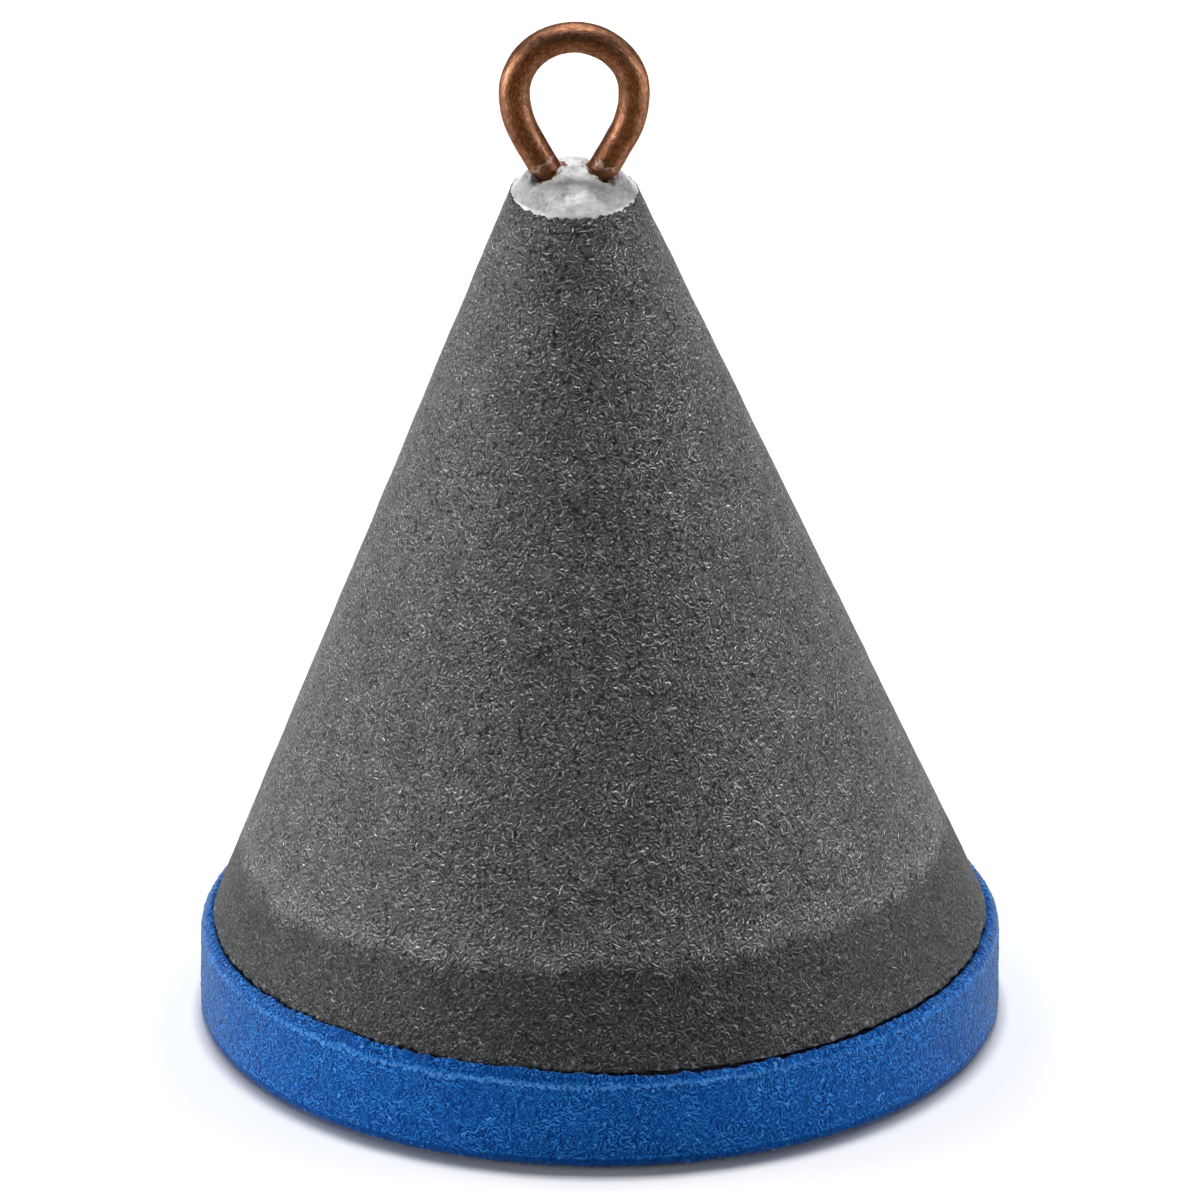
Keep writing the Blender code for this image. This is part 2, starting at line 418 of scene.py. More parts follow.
def wrinkles(sheet, place, across, size, seed, lit_sides, split):
    """A wrinkled skin's height, its lit and shaded sides, and the noise that picks the way they face."""
    height, tops = sheet.relief(place, across, size, seed, *LIT_TOPS)
    sides = sheet.relief(place, across, size, seed + 5.0, *lit_sides)[1]
    which = sheet.noise(place, 0.5 / size, seed + 9.0)
    return height, sheet.ramp(which, *split, sides, tops, False), which


def bumped(sheet, height, depth):
    """A normal roughened by a height from 0 to 1, this deep in metres."""
    inputs = {"Strength": 1.0, "Distance": depth, "Height": height}
    return sheet.add("ShaderNodeBump", inputs=inputs).outputs[0]


# Building pieces

SOCKET_KINDS = {float: "NodeSocketFloat", int: "NodeSocketInt", bpy.types.Material: "NodeSocketMaterial"}


def new_tree(name, values):
    """A Geometry Nodes tree with an input for each named value, its sheet, and the inputs' sockets."""
    tree = bpy.data.node_groups.new(name, "GeometryNodeTree")
    for side in ("INPUT", "OUTPUT"):
        tree.interface.new_socket("Geometry", in_out=side, socket_type="NodeSocketGeometry")
    for label, value in values.items():
        tree.interface.new_socket(label, in_out="INPUT", socket_type=SOCKET_KINDS[type(value)])
    sheet = Sheet(tree)
    return tree, sheet, sheet.add("NodeGroupInput").outputs


def close_tree(sheet, geometry, offset, material):
    """Ends a tree with its geometry moved by the offset, smooth, real and in this material."""
    moved = sheet.add("GeometryNodeSetPosition", geometry, inputs={"Offset": offset})
    smooth = sheet.add("GeometryNodeSetShadeSmooth", moved.outputs[0])
    real = sheet.add("GeometryNodeRealizeInstances", smooth.outputs[0])
    painted = sheet.add("GeometryNodeSetMaterial", real.outputs[0], inputs={"Material": material})
    sheet.add("NodeGroupOutput", painted.outputs[0])


def give_tree(obj, make_tree, material, values):
    """Puts a tree on the object, with its inputs set by their identifiers."""
    values = {**values, "Seed": float(bpy.context.scene.plummet.seed), "Material": material}
    tree = make_tree(values)
    modifier = obj.modifiers.new(tree.name, "NODES")
    modifier.node_group = tree
    for item in tree.interface.items_tree:
        if item.in_out == "INPUT" and item.name in values:
            modifier[item.identifier] = values[item.name]


def turned_pattern(name, profile, steps):
    """An object turned about Z from profile points (radius, height) that run down its outer side."""
    mesh = bpy.data.meshes.new(name + "_pattern")
    edges = [(i, i + 1) for i in range(len(profile) - 1)]
    mesh.from_pydata([(radius, 0, height) for radius, height in profile], edges, [])
    pattern = bpy.data.objects.new(name + "_pattern", mesh)
    bpy.context.scene.collection.objects.link(pattern)
    screw = pattern.modifiers.new("Turn", "SCREW")
    screw.steps = steps
    screw.render_steps = steps
    screw.use_merge_vertices = True
    screw.merge_threshold = SAME_PLACE
    return pattern


def finished_piece(name, pattern, node):
    """The pattern's evaluated mesh as a piece that rides on the body and stands for a CAD node."""
    graph = bpy.context.evaluated_depsgraph_get()
    mesh = bpy.data.meshes.new_from_object(pattern.evaluated_get(graph))
    mesh.name = name
    source = pattern.data
    bpy.data.objects.remove(pattern)
    if isinstance(source, bpy.types.Mesh):
        bpy.data.meshes.remove(source)
    else:
        bpy.data.curves.remove(source)
    piece = bpy.data.objects.new(name, mesh)
    bpy.context.scene.collection.objects.link(piece)
    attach(piece, BODY)
    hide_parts(node)
    return piece


def arc(centre, radii, start, end, count):
    """Points on an arc, round or elliptical; 0 points outwards, 90 degrees up."""
    angles = [start + (end - start) * i / count for i in range(count + 1)]
    return [(centre[0] + radii[0] * math.cos(a), centre[1] + radii[1] * math.sin(a)) for a in angles]


def between(first, last, count):
    """Points on a straight run, after the first one and up to the last."""
    steps = [(i + 1) / count for i in range(count)]
    return [(first[0] + (last[0] - first[0]) * t, first[1] + (last[1] - first[1]) * t) for t in steps]


def rough_skin(sheet, seed, lump_depth, lump_size, fine_depth, fine_size):
    """The place of each point, and an offset along its normal from two sizes of soft lumps."""
    place = sheet.add("GeometryNodeInputPosition").outputs[0]
    normal = sheet.add("GeometryNodeInputNormal").outputs[0]
    lumps = sheet.noise(place, sheet.math("DIVIDE", 1.0, lump_size), seed)
    fine = sheet.noise(place, sheet.math("DIVIDE", 1.0, fine_size), sheet.plus(seed, 7.0))
    lumps = sheet.times(sheet.sway(lumps, 1.0, 0.2, 0.8), lump_depth)
    fine = sheet.times(sheet.sway(fine, 1.0, 0.2, 0.8), fine_depth)
    return place, sheet.scaled(normal, sheet.plus(lumps, fine))


# Foam base: depths below its top, heights above its foot, and places across it

FOAM_STEPS = 1200
# Painted highlight along the foam's rounded top edge, fainter to the right and at the far left
EDGE_HIGHLIGHT_DEPTHS = (0.0003, 0.00022, 0.00015, 0.00009)
EDGE_HIGHLIGHT_FADES_RIGHT = (0.003, 0.008)
EDGE_HIGHLIGHT_FADES_LEFT = (-0.0115, -0.0085)
# Painted shadow of the cone on the foam's flat top ring
LEDGE_SHADE_DEPTHS = (0.00014, 0.00006)
BLOTCHES_SWAY = 0.00006
CELLS_SWAY = 0.00005
# Painted highlight on a thin line just above the foot, standing in for a lit ridge that the mesh lacks
SEAM_HIGHLIGHT_HEIGHTS = (0.00036, 0.00041, 0.00044, 0.00049)
SMOOTH_FOOT_HEIGHTS = (0.00042, 0.00036)
FLAT_FOOT_HEIGHTS = (0.0, 0.00008)
LIP_WIDTHS = (0.0, 0.00006, 0.0001, 0.0003)
LIP_DEPTHS = (0.0004, 0.0002)


def foam_material(look, seed):
    material, sheet, place = new_material("blue_foam")
    x, _, z = sheet.parts(place)
    across = round_the_axis(sheet, place)
    cells, lit, which = wrinkles(
        sheet, place, across, look.cell_size, seed, lit_sides=(0.24, -0.06), split=(0.42, 0.58))
    blotches = sheet.noise(place, 0.15 / look.cell_size, seed + 1.0, detail=2.0)
    spots = sheet.noise(place, 1.2 / look.cell_size, seed + 2.0)
    level = sheet.plus(z, sheet.sway(blotches, BLOTCHES_SWAY), sheet.sway(cells, CELLS_SWAY))
    # Painted highlight along the rounded top edge, fainter to the right and at the far left
    edge_highlight = sheet.times(
        sheet.band(level, *(FOAM_THICKNESS - depth for depth in EDGE_HIGHLIGHT_DEPTHS)),
        sheet.ramp(x, *EDGE_HIGHLIGHT_FADES_RIGHT, 1.0, 0.3), sheet.ramp(x, *EDGE_HIGHLIGHT_FADES_LEFT, 0.35, 1.0))
    # Painted shadow of the cone on the flat top ring
    ledge_shade = sheet.ramp(level, *(FOAM_THICKNESS - depth for depth in LEDGE_SHADE_DEPTHS))
    # Painted highlight on a thin line just above the foot, standing in for a lit ridge
    seam_highlight = sheet.band(z, *SEAM_HIGHLIGHT_HEIGHTS)
    smooth = sheet.ramp(z, *SMOOTH_FOOT_HEIGHTS)
    contrast = sheet.times(
        sheet.ramp(blotches, 0.35, 0.65, 0.55, 1.25), look.cell_contrast,
        sheet.ramp(smooth, 0.0, 1.0, 1.0, 0.3))
    swing = sheet.times(sheet.plus(lit, sheet.times(sheet.minus(cells, 0.5), 0.25)), contrast)
    # Adds bright flecks, painted shade in pits, the painted edge highlight, the painted shadow on the flat
    # top ring and the painted highlight above the foot, and darkens the foot
    swing = sheet.plus(
        swing, sheet.ramp(which, 0.3, 0.7, -0.12, 0.12),
        sheet.ramp(spots, 0.7, 0.8, 0.0, 0.9), sheet.ramp(spots, 0.3, 0.2, 0.0, -0.7),
        sheet.times(edge_highlight, 0.6), sheet.times(ledge_shade, -0.2),
        sheet.times(seam_highlight, 0.3), sheet.times(smooth, -0.25))
    # Mixes towards the lit colour where the painted light is strong and towards the shaded colour where the
    # painted shade is deep
    colour = sheet.mix(sheet.ramp(swing, 0.0, 1.2, smooth=False), look.colour, look.lit_cell_colour)
    colour = sheet.mix(sheet.ramp(swing, 0.0, -1.0, smooth=False), colour, look.shaded_cell_colour)
    # Painted highlight flecks along the top edge, and pale flecks elsewhere
    highlight_and_flecks = sheet.times(edge_highlight, sheet.ramp(cells, 0.4, 0.6, 0.05, 0.3))
    highlight_and_flecks = sheet.plus(highlight_and_flecks, sheet.ramp(spots, 0.74, 0.84, 0.0, 0.45))
    add_shader(sheet, {
        "Base Color": sheet.mix(highlight_and_flecks, colour, look.highlight_fleck_colour),
        "Roughness": sheet.ramp(cells, 0.3, 0.7, 0.8, 0.6),
        "Specular IOR Level": 0.03,
        "Sheen Weight": 0.32,
        "Sheen Roughness": 0.4,
        "Sheen Tint": (1.0, 0.9, 0.15, 1.0),
        "Normal": bumped(sheet, cells, look.cell_size * 0.2),
    })
    return material


def foam_tree(values):
    tree, sheet, given = new_tree("Foam skin", values)
    place, offset = rough_skin(
        sheet, given["Seed"], given["Lump depth"], given["Lump size"],
        given["Cell depth"], given["Cell size"])
    x, y, z = sheet.parts(place)
    offset = sheet.scaled(offset, sheet.ramp(z, *FLAT_FOOT_HEIGHTS))
    flat = sheet.joined(x, y, 0.0)
    past_cone = sheet.minus(sheet.length(flat), given["Cone radius"])
    near_top = sheet.ramp(sheet.minus(given["Thickness"], z), *LIP_DEPTHS)
    lip = sheet.times(sheet.band(past_cone, *LIP_WIDTHS), near_top)
    outwards = sheet.vector("NORMALIZE", flat)
    ragged = sheet.noise(outwards, 14.0, given["Seed"], detail=5.0, roughness=0.85)
    turned = sheet.add("ShaderNodeVectorRotate", outwards, rotation_type="Z_AXIS",
                       inputs={"Angle": sheet.times(given["Lip turn"], -1.0)}).outputs[0]
    pressed = sheet.ramp(sheet.times(sheet.parts(turned)[1], -1.0), 0.75, 1.0, 0.0, 0.6)
    swollen = sheet.plus(pressed, sheet.ramp(ragged, 0.35, 0.65, 0.0, 0.55))
    swollen = sheet.times(lip, sheet.times(swollen, given["Lip height"]))
    offset = sheet.vector("ADD", offset, sheet.joined(0.0, 0.0, swollen))
    close_tree(sheet, given["Geometry"], offset, given["Material"])
    return tree


def foam_profile(look):
    top = look.top_edge
    bottom = look.bottom_edge
    rim = FOAM_RADIUS - top
    profile = [(0, FOAM_THICKNESS)] + between((0, FOAM_THICKNESS), (GLUE_RADIUS, FOAM_THICKNESS), 6)
    profile += between(profile[-1], (rim, FOAM_THICKNESS), 5)
    profile += arc((rim, FOAM_THICKNESS - top), (top, top), QUARTER_TURN, 0, 16)[1:]
    profile += between(profile[-1], (FOAM_RADIUS, bottom), 36)
    profile += arc((FOAM_RADIUS - bottom, bottom), (bottom, bottom), 0, -QUARTER_TURN, 8)[1:]
    profile += between(profile[-1], (0, 0), 9)
    return profile


class PLUMMET_OT_foam(Operator):
    """Make the blue foam base"""

    bl_idname = "plummet.foam"
    bl_label = "Foam base"

    def execute(self, context):
        settings = context.scene.plummet
        look = settings.foam
        pattern = turned_pattern("foam", foam_profile(look), FOAM_STEPS)
        give_tree(pattern, foam_tree, foam_material(look, settings.seed), {
            "Lump depth": look.lump_depth, "Lump size": look.lump_size,
            "Cell depth": look.cell_depth, "Cell size": look.cell_size,
            "Cone radius": CONE_BASE_RADIUS, "Thickness": FOAM_THICKNESS,
            "Lip height": look.lip_height, "Lip turn": look.lip_turn,
        })
        foam = finished_piece("blue_foam_base", pattern, "foam_base")
        return {"FINISHED"}


# Textured coat: heights above its base or its dark band's edge, and depths below its rim

COAT_STEPS = 600
BAND_SWAY = 0.00012
BAND_EDGE_HEIGHTS = (-0.0003, 0.0002)
# Painted highlight in a ring just above the dark band
HIGHLIGHT_RING_HEIGHTS = (0.0, 0.0003, 0.0003, 0.0014)
CHIP_HEIGHTS = (0.00035, 0.0001)
RAGGED_RIM_DEPTH = 0.0006
RAGGED_BASE_HEIGHTS = (0.0004, 0.0)
RAGGED_BASE_WIDTHS = (0.0005, 0.0001)
FEATHER_DEPTH = 0.001
FINE_RIM_DEPTH = 0.0008
BASE_EDGE_HEIGHT = 0.00006
BASE_EDGE_WIDTH = 0.00008
BASE_EDGE_BEND = 0.00002


def coat_material(look, seed):
    material, sheet, place = new_material("wrinkled_grey_coat")
    x, _, z = sheet.parts(place)
    across = round_the_axis(sheet, place)
    folds, lit = wrinkles(
        sheet, place, across, look.grain_size, seed, lit_sides=(0.2, -0.14), split=(0.36, 0.5))[:2]
    patches = sheet.noise(place, 0.2 / look.grain_size, seed + 1.0, detail=1.0)
    spots = sheet.noise(place, 1.1 / look.grain_size, seed + 2.0)
    height = sheet.minus(z, CONE_BOTTOM)
    band = sheet.times(sheet.ramp(x, -CONE_BASE_RADIUS, 0.0, 0.78, 1.02), look.band_height)
    edge = sheet.plus(sheet.minus(height, band), sheet.sway(patches, BAND_SWAY, 0.25, 0.75))
    shade = sheet.ramp(edge, *BAND_EDGE_HEIGHTS, look.band_shade, 1.0)
    # Painted highlight in a ring just above the dark band
    shade = sheet.plus(shade, sheet.times(sheet.band(edge, *HIGHLIGHT_RING_HEIGHTS), 0.25))
    # The grain's painted light and shade, and its painted glints, are weaker on the sides towards ±X
    side = sheet.math("ABSOLUTE", sheet.parts(across)[1])
    contrast = sheet.ramp(side, 0.4, 0.9, look.grain_contrast, look.grain_contrast * 0.85)
    swing = sheet.plus(sheet.times(lit, contrast), sheet.minus(patches, 0.5))
    # Painted shade in the pits
    pits = sheet.ramp(spots, 0.36, 0.24, 1.0, 0.2)
    # Painted glints, fainter towards ±X
    specks = sheet.times(sheet.ramp(spots, 0.74, 0.82, 0.0, 2.0), sheet.ramp(side, 0.4, 0.9, 1.0, 0.5))
    chips = sheet.times(sheet.ramp(spots, 0.58, 0.68, 0.0, 1.2), sheet.ramp(height, *CHIP_HEIGHTS))
    level = sheet.plus(sheet.times(shade, sheet.math("EXPONENT", swing), pits), specks, chips)
    add_shader(sheet, {
        "Base Color": sheet.scaled(look.colour, level),
        "Roughness": sheet.ramp(folds, 0.3, 0.7, 0.68, 0.5),
        "Specular IOR Level": 0.25,
        "Normal": bumped(sheet, folds, look.grain_depth),
    })
    return material


def coat_tree(values):
    tree, sheet, given = new_tree("Coat skin", values)
    place, offset = rough_skin(
        sheet, given["Seed"], given["Lump depth"], given["Lump size"],
        given["Fine depth"], given["Fine size"])
    x, y, z = sheet.parts(place)
    flat = sheet.joined(x, y, 0.0)
    outwards = sheet.vector("NORMALIZE", flat)
    ragged = sheet.noise(outwards, 9.0, given["Seed"], detail=3.0, roughness=0.65)
    ragged = sheet.times(sheet.sway(ragged, 1.0, 0.25, 0.75), given["Ragged rim"])
    front = sheet.ramp(sheet.parts(outwards)[1], -1.0, 0.2, 1.0, 0.0)
    near_rim = sheet.ramp(z, sheet.minus(given["Rim height"], RAGGED_RIM_DEPTH), given["Rim height"])
    drop = sheet.times(sheet.plus(ragged, sheet.times(front, given["Rim dip"])), near_rim)
    spread = sheet.math("TANGENT", given["Flank angle"])
    down = sheet.vector("ADD", sheet.scaled(outwards, spread), (0.0, 0.0, -1.0))
    above = sheet.minus(z, given["Base height"])
    from_edge = sheet.minus(given["Base radius"], sheet.length(flat))
    at_base = sheet.times(sheet.ramp(above, *RAGGED_BASE_HEIGHTS), sheet.ramp(from_edge, *RAGGED_BASE_WIDTHS))
    chipped = sheet.noise(outwards, 24.0, sheet.plus(given["Seed"], 3.0), detail=4.0, roughness=0.75)
    chipped = sheet.times(sheet.ramp(chipped, 0.42, 0.68), given["Ragged base"], at_base)
    lifted = sheet.vector("ADD", sheet.scaled(outwards, -0.6), (0.0, 0.0, 1.0))
    offset = sheet.vector("ADD", offset, sheet.scaled(lifted, chipped))
    offset = sheet.vector("ADD", offset, sheet.scaled(down, drop))
    offset = sheet.vector("ADD", offset, sheet.joined(sheet.times(above, given["Lean"]), 0.0, 0.0))
    close_tree(sheet, given["Geometry"], offset, given["Material"])
    return tree


def coat_profile(look):
    slope = math.tan(FLANK_ANGLE)
    floor = CONE_BOTTOM + look.thickness
    wall = look.thickness / math.cos(FLANK_ANGLE)
    inner_base = (CONE_BASE_RADIUS - look.thickness * slope - wall, floor)
    inner_feather = (RIM_RADIUS + FEATHER_DEPTH * slope - wall, RIM_HEIGHT - FEATHER_DEPTH)
    inner_rim = (RIM_RADIUS - look.rim_thickness, RIM_HEIGHT)
    below_rim = (RIM_RADIUS + FINE_RIM_DEPTH * slope, RIM_HEIGHT - FINE_RIM_DEPTH)
    profile = [(0, floor), inner_base, inner_feather]
    profile += between(inner_feather, inner_rim, 6)
    profile += [(RIM_RADIUS, RIM_HEIGHT)]
    profile += between(profile[-1], below_rim, 14)
    profile += between(below_rim, (CONE_BASE_RADIUS, CONE_BOTTOM + BASE_EDGE_HEIGHT), 130)
    profile += [(CONE_BASE_RADIUS - BASE_EDGE_BEND, CONE_BOTTOM + BASE_EDGE_BEND)]
    profile += [(CONE_BASE_RADIUS - BASE_EDGE_WIDTH, CONE_BOTTOM), (0, CONE_BOTTOM)]
    return profile


class PLUMMET_OT_coat(Operator):
    """Make the textured grey coat"""

    bl_idname = "plummet.coat"
    bl_label = "Textured coat"

    def execute(self, context):
        settings = context.scene.plummet
        look = settings.coat
        pattern = turned_pattern("coat", coat_profile(look), COAT_STEPS)
        give_tree(pattern, coat_tree, coat_material(look, settings.seed), {
            "Lump depth": look.lump_depth, "Lump size": look.lump_size,
            "Fine depth": look.fine_depth, "Fine size": look.fine_size,
            "Lean": CONE_LEAN, "Base height": CONE_BOTTOM, "Rim height": RIM_HEIGHT,
            "Ragged rim": look.rim_ragged, "Rim dip": look.rim_dip, "Flank angle": FLANK_ANGLE,
            "Base radius": CONE_BASE_RADIUS, "Ragged base": look.base_ragged,
        })
        finished_piece("grey_textured_coat", pattern, "textured_coat")
        return {"FINISHED"}


# Lead weight: noise scales per metre, distances from the patch, the wire and the middle, heights at the rim

LEAD_STEPS = 360
STAIN_SCALE = 900.0
GRAIN_SCALE = 11000.0
SCUFF_SCALE = 4000.0
SMEAR_SCALE = 5000.0
COLLAR_SCALE = 4000.0
LEAD_GRAIN_DEPTH = 0.000008
PATCH_RADII = (0.0008, 0.0002)
SMEAR_SWAY = 0.00018
SMEAR_WIDTHS = (0.0002, 0.00004)
# How the lead grows duller away from the middle
DULLER_ASIDE_SWAY = 0.0003
DULLER_ASIDE_DISTANCES = (0.0004, 0.0013)
# Painted highlight along the lead's edge at the rim
RIM_HIGHLIGHT_TOP = 0.00004
RIM_HIGHLIGHT_DEPTH = 0.00002
BARE_DEPTH = 0.0001
FINE_LUMPS = 0.3
COVERED_RIM = 0.7
COVERED_DEPTH = 0.0006
SEAT_GAP = 0.00002


def beside_wire(sheet, aside, y, spread, radius):
    """Distance past a leg's skin, where it goes into the lead, and how far to its outer side a point lies."""
    outer = sheet.minus(aside, spread)
    away = sheet.length(sheet.joined(outer, y, 0.0))
    return sheet.minus(away, radius), sheet.math("DIVIDE", outer, away)


def lead_material(look, seed):
    material, sheet, place = new_material("bare_lead")
    x, y, z = sheet.parts(place)
    from_patch = sheet.vector("SUBTRACT", sheet.joined(x, y, 0.0), (*look.patch_place, 0.0))
    patch = sheet.ramp(sheet.length(from_patch), *PATCH_RADII, 0.0, 0.16)
    stains = sheet.plus(sheet.noise(place, STAIN_SCALE, seed, detail=3.0, roughness=0.6), patch)
    grain = sheet.noise(place, GRAIN_SCALE, seed + 1.0, detail=2.0, roughness=0.6)
    ragged = sheet.noise(place, SMEAR_SCALE, seed + 2.0, detail=2.0)
    scuffs = sheet.noise(place, SCUFF_SCALE, seed + 3.0, detail=3.0, roughness=0.7, distortion=sheet.SWIRL)
    aside = sheet.math("ABSOLUTE", sheet.minus(x, EYE_MIDDLE.x))
    past, outer_side = beside_wire(sheet, aside, y, look.foot_spread, WIRE_RADIUS)
    past = sheet.plus(past, sheet.sway(ragged, SMEAR_SWAY))
    smear = sheet.times(sheet.ramp(past, *SMEAR_WIDTHS), sheet.ramp(outer_side, 0.7, 0.2))
    # Duller away from the middle
    duller_aside = sheet.ramp(sheet.plus(aside, sheet.sway(stains, DULLER_ASIDE_SWAY)), *DULLER_ASIDE_DISTANCES, 0.0, 0.26)
    speckled = sheet.times(sheet.ramp(grain, 0.48, 0.66), sheet.ramp(stains, 0.45, 0.65, 0.1, 0.8))
    # Painted highlight along the lead's edge at the rim
    rim_highlight = sheet.ramp(z, RIM_HEIGHT + RIM_HIGHLIGHT_TOP, RIM_HEIGHT - RIM_HIGHLIGHT_DEPTH, 0.0, 0.35)
    colour = sheet.mix(sheet.ramp(stains, 0.4, 0.7, 0.0, 0.75), look.colour, look.dull_colour)
    colour = sheet.mix(duller_aside, colour, look.dull_colour)
    colour = sheet.mix(speckled, colour, look.dull_colour)
    colour = sheet.mix(rim_highlight, colour, look.colour)
    colour = sheet.scaled(colour, sheet.ramp(scuffs, 0.35, 0.65, 0.88, 1.08))
    add_shader(sheet, {
        "Base Color": sheet.mix(smear, colour, look.smear_colour),
        "Metallic": 0.38,
        "Roughness": sheet.ramp(stains, 0.3, 0.7, 0.46, 0.62),
        "Normal": bumped(sheet, grain, LEAD_GRAIN_DEPTH),
    })
    return material


def lead_tree(values):
    tree, sheet, given = new_tree("Lead skin", values)
    place, offset = rough_skin(
        sheet, given["Seed"], given["Lump depth"], given["Lump size"],
        sheet.times(given["Lump depth"], FINE_LUMPS), sheet.times(given["Lump size"], FINE_LUMPS))
    x, y, z = sheet.parts(place)
    bare = sheet.ramp(z, sheet.minus(given["Rim height"], BARE_DEPTH), given["Rim height"])
    past, outer_side = beside_wire(
        sheet, sheet.math("ABSOLUTE", x), y, given["Foot spread"], given["Wire radius"])
    ragged = sheet.noise(place, COLLAR_SCALE, given["Seed"], detail=2.0)
    sunk = sheet.times(sheet.ramp(sheet.math("ABSOLUTE", outer_side), 0.85, 0.3), given["Pit depth"])
    rise = sheet.minus(sheet.times(sheet.ramp(outer_side, 0.2, 0.9), given["Collar height"]), sunk)
    rise = sheet.times(rise, sheet.ramp(ragged, 0.3, 0.7, 0.5, 1.5, False))
    climb = sheet.times(sheet.ramp(past, given["Collar width"], 0.0), rise, bare)
    shift = sheet.times(sheet.minus(z, given["Base height"]), given["Lean"])
    offset = sheet.vector("ADD", sheet.scaled(offset, bare), sheet.joined(shift, 0.0, climb))
    close_tree(sheet, given["Geometry"], offset, given["Material"])
    return tree


def lead_profile(coat):
    slope = math.tan(FLANK_ANGLE)
    mound = MOUND_TOP - RIM_HEIGHT
    edge = RIM_RADIUS - coat.rim_thickness * COVERED_RIM
    crown = (edge**2 + mound**2) / (2 * mound)
    profile = arc((0, MOUND_TOP - crown), (crown, crown), QUARTER_TURN, math.atan2(crown - mound, edge), 90)
    profile[0] = (0, MOUND_TOP)
    profile += between(profile[-1], (edge + COVERED_DEPTH * slope, RIM_HEIGHT - COVERED_DEPTH), 10)
    wall = (coat.thickness + SEAT_GAP) / math.cos(FLANK_ANGLE)
    profile += [(RIM_RADIUS + FEATHER_DEPTH * slope - wall, RIM_HEIGHT - FEATHER_DEPTH)]
    foot = LEAD_BOTTOM - CONE_BOTTOM
    profile += between(profile[-1], (CONE_BASE_RADIUS - foot * slope - wall, LEAD_BOTTOM), 8)
    return profile + [(0, LEAD_BOTTOM)]


class PLUMMET_OT_lead(Operator):
    """Make the cast lead weight with its bare mound"""

    bl_idname = "plummet.lead"
    bl_label = "Lead weight"

    def execute(self, context):
        settings = context.scene.plummet
        look = settings.lead
        pattern = turned_pattern("lead", lead_profile(settings.coat), LEAD_STEPS)
        give_tree(pattern, lead_tree, lead_material(look, settings.seed), {
            "Lump depth": look.lump_depth, "Lump size": look.lump_size,
            "Lean": CONE_LEAN, "Base height": CONE_BOTTOM, "Rim height": RIM_HEIGHT,
            "Foot spread": look.foot_spread, "Wire radius": WIRE_RADIUS,
            "Collar height": look.collar_height, "Collar width": look.collar_width,
            "Pit depth": look.pit_depth,
        })
        finished_piece("bare_lead_weight", pattern, "lead_weight")
        return {"FINISHED"}


# Wire eye: noise scales per metre, along the wire or round it, and heights above the film of lead's edge

WIRE_STEP = 0.00005
WIRE_SIDES = 48
DENT_SIZE = 0.0012
FINE_DENT_SIZE = 0.0004
STREAK_STRETCH = 400.0
TARNISH_SCALE = 1300.0
SPECK_SCALE = 9000.0
FILM_SCALE = 3500.0
COPPER_GRAIN_DEPTH = 0.000006
FILM_SWAY = 0.00015
FILM_TOP = (0.00004, 0.0)
FILM_BOTTOM = (-0.00012, -0.00003)
STAIN_TOP = (0.00004, -0.00004)


def wire_line(look):
    """Centre line of the wire's right half, as (x, z) from the top of the eye to the end of its foot."""
    middle = (0, EYE_MIDDLE.z)
    leg = WIRE_RADIUS + look.leg_gap / 2
    line = arc(middle, (EYE_RADIUS, EYE_RADIUS), QUARTER_TURN, 0, 40)
    lower = math.atan(math.tan(look.leg_angle) * look.lower_half / EYE_RADIUS)
    line += arc(middle, (EYE_RADIUS, look.lower_half), 0, -lower, 20)[1:]
    bend_x = leg + look.bend
    run = (line[-1][0] - bend_x + look.bend * math.cos(look.leg_angle)) / math.tan(look.leg_angle)
    bend_z = line[-1][1] - run - look.bend * math.sin(look.leg_angle)
    line += arc((bend_x, bend_z), (-look.bend, look.bend), look.leg_angle, 0, 12)
    line += arc((bend_x, RIM_HEIGHT - look.leg_depth), (-look.bend, look.bend), 0, -look.foot_angle, 16)
    end = Vector((math.sin(look.foot_angle), -math.cos(look.foot_angle))) * look.foot_length
    return line + [(line[-1][0] + end.x, line[-1][1] + end.y)]


